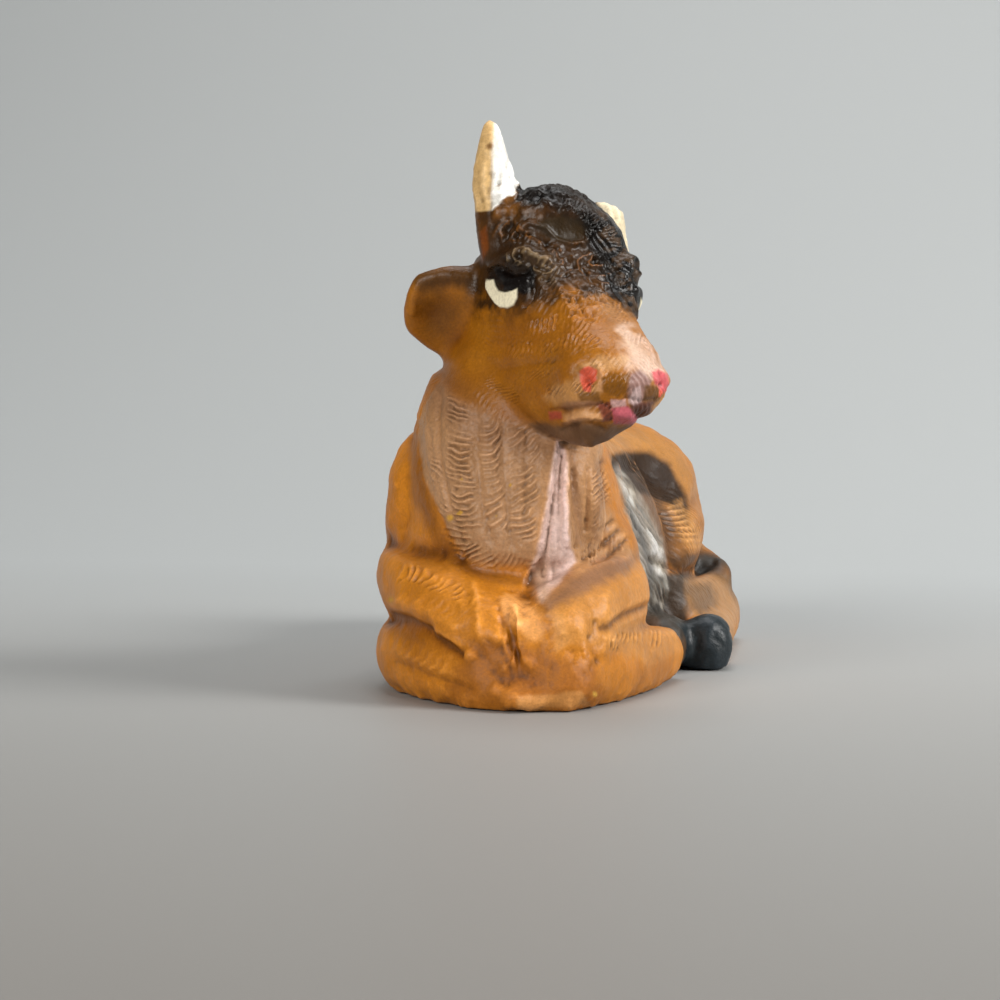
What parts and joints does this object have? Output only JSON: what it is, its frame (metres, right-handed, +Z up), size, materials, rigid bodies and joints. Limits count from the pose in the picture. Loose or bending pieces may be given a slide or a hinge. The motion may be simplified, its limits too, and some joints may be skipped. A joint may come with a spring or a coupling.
{
  "type": "lying ox figurine",
  "caption": "Hand-painted moulded figurine of a lying ox with folded legs, head turned to its left, upright horns and a flat underside to stand on.",
  "frame": {"origin": "on the flat underside, below the spine and halfway along the trunk", "axes": "+X to the animal's left, +Y from its chest to its rump, +Z up; the head looks forward and to the left, towards -Y and +X"},
  "size_m": [0.039, 0.0936, 0.0633],
  "materials": {
    "bare_composition": "matt, unevenly painted pressed composition",
    "coat_paint": "satin orange-brown paint over pressed composition",
    "dewlap_paint": "satin mauve-brown sprayed paint over combed strokes",
    "head_paint": "semi-gloss brown paint shading to gloss black",
    "horn_paint": "cream and white paint",
    "hoof_paint": "satin blue-black paint",
    "wire": "plain drawn wire"
  },
  "bodies": {
    "root": {"base_layer": "bare_composition", "trunk_left_half": "coat_paint", "trunk_right_half": "coat_paint", "neck": "dewlap_paint", "neck_wire": "wire", "foreleg_left": "coat_paint", "foreleg_right": "coat_paint", "hind_leg_right": "coat_paint", "hind_leg_left": "coat_paint", "hind_foot_right": "hoof_paint", "tail": "hoof_paint", "head": "head_paint", "horn_left": "horn_paint", "horn_pin_left": "wire", "horn_right": "horn_paint", "horn_pin_right": "wire", "ear_left": "head_paint", "ear_right": "head_paint"}
  },
  "joints": []
}
